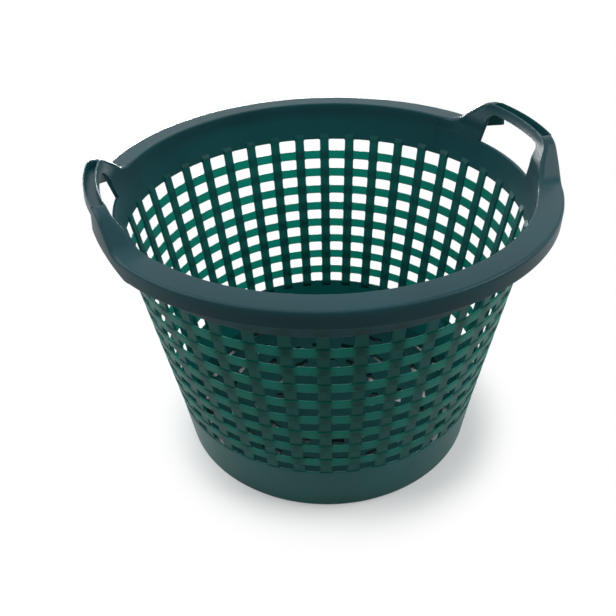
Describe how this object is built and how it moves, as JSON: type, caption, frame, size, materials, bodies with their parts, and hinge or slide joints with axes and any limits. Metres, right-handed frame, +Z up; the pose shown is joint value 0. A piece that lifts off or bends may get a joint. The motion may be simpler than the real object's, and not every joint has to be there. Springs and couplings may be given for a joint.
{
  "type": "potato basket",
  "caption": "Round tapered plastic harvest basket with an open lattice wall, plain base and rim bands, slotted floor and two raised grips, for picking and carrying potatoes.",
  "frame": {"origin": "centre of the foot ring, on the ground", "axes": "+Z up through the mouth, the two grips on +X and -X, +Y towards the back in the stored view"},
  "size_m": [0.454, 0.4578, 0.3255],
  "materials": {
    "moulded_plastic": "satin as moulded, slightly translucent where thin"
  },
  "bodies": {
    "root": {"floor": "moulded_plastic", "base_band": "moulded_plastic", "rim": "moulded_plastic", "handle_left": "moulded_plastic", "handle_right": "moulded_plastic", "hoop_1": "moulded_plastic", "hoop_2": "moulded_plastic", "hoop_3": "moulded_plastic", "hoop_4": "moulded_plastic", "hoop_5": "moulded_plastic", "hoop_6": "moulded_plastic", "hoop_7": "moulded_plastic", "hoop_8": "moulded_plastic", "rib_01": "moulded_plastic", "rib_02": "moulded_plastic", "rib_03": "moulded_plastic", "rib_04": "moulded_plastic", "rib_05": "moulded_plastic", "rib_06": "moulded_plastic", "rib_07": "moulded_plastic", "rib_08": "moulded_plastic", "rib_09": "moulded_plastic", "rib_10": "moulded_plastic", "rib_11": "moulded_plastic", "rib_12": "moulded_plastic", "rib_13": "moulded_plastic", "rib_14": "moulded_plastic", "rib_15": "moulded_plastic", "rib_16": "moulded_plastic", "rib_17": "moulded_plastic", "rib_18": "moulded_plastic", "rib_19": "moulded_plastic", "rib_20": "moulded_plastic", "rib_21": "moulded_plastic", "rib_22": "moulded_plastic", "rib_23": "moulded_plastic", "rib_24": "moulded_plastic", "rib_25": "moulded_plastic", "rib_26": "moulded_plastic", "rib_27": "moulded_plastic", "rib_28": "moulded_plastic", "rib_29": "moulded_plastic", "rib_30": "moulded_plastic", "rib_31": "moulded_plastic", "rib_32": "moulded_plastic", "rib_33": "moulded_plastic", "rib_34": "moulded_plastic", "rib_35": "moulded_plastic", "rib_36": "moulded_plastic", "rib_37": "moulded_plastic", "rib_38": "moulded_plastic", "rib_39": "moulded_plastic", "rib_40": "moulded_plastic"}
  },
  "joints": []
}
